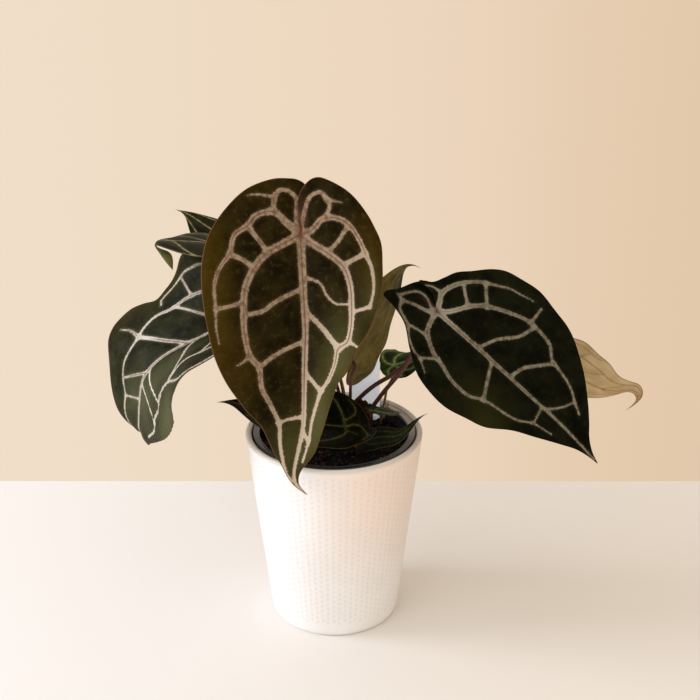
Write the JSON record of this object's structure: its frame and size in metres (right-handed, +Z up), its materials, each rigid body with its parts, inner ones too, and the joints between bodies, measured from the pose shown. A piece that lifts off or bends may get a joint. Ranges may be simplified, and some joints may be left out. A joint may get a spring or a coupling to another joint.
{
  "type": "potted anthurium",
  "caption": "Anthurium with hanging heart-shaped leaves, pale net veins and thin dark stalks, growing in a nursery pot that stands inside a round, tapered, dimpled ceramic planter.",
  "frame": {"origin": "centre of the planter's flat base, on the surface that it stands on", "axes": "+Z up along the planter's axis, +X to the right in the picture along the plant's widest spread, -Y towards the picture's camera"},
  "size_m": [0.4227, 0.2064, 0.3493],
  "materials": {
    "planter_ceramic": "satin",
    "nursery_plastic": "satin",
    "soil_mix": "matte",
    "crown_stem": "matte",
    "tag_plastic": "satin",
    "maroon_petiole": "satin",
    "green_petiole": "satin",
    "front_leaf": "satin",
    "left_leaf": "satin",
    "young_leaf": "satin",
    "back_right_leaf": "matte",
    "dark_leaf": "satin"
  },
  "bodies": {
    "root": {"planter": "planter_ceramic", "nursery_pot": "nursery_plastic", "soil": "soil_mix", "crown": "crown_stem", "plant_tag": "tag_plastic", "blade_front": "front_leaf", "petiole_front": "maroon_petiole", "blade_right": "dark_leaf", "petiole_right": "maroon_petiole", "blade_left": "left_leaf", "petiole_left": "maroon_petiole", "blade_back_left_high": "dark_leaf", "petiole_back_left_high": "maroon_petiole", "blade_back_left_low": "dark_leaf", "petiole_back_left_low": "green_petiole", "blade_back_centre": "dark_leaf", "petiole_back_centre": "maroon_petiole", "blade_young": "young_leaf", "petiole_young": "green_petiole", "blade_back_right": "back_right_leaf", "petiole_back_right": "maroon_petiole", "blade_low_front": "dark_leaf", "petiole_low_front": "maroon_petiole", "blade_low_right": "dark_leaf", "petiole_low_right": "maroon_petiole", "blade_low_back": "dark_leaf", "petiole_low_back": "maroon_petiole"}
  },
  "joints": []
}
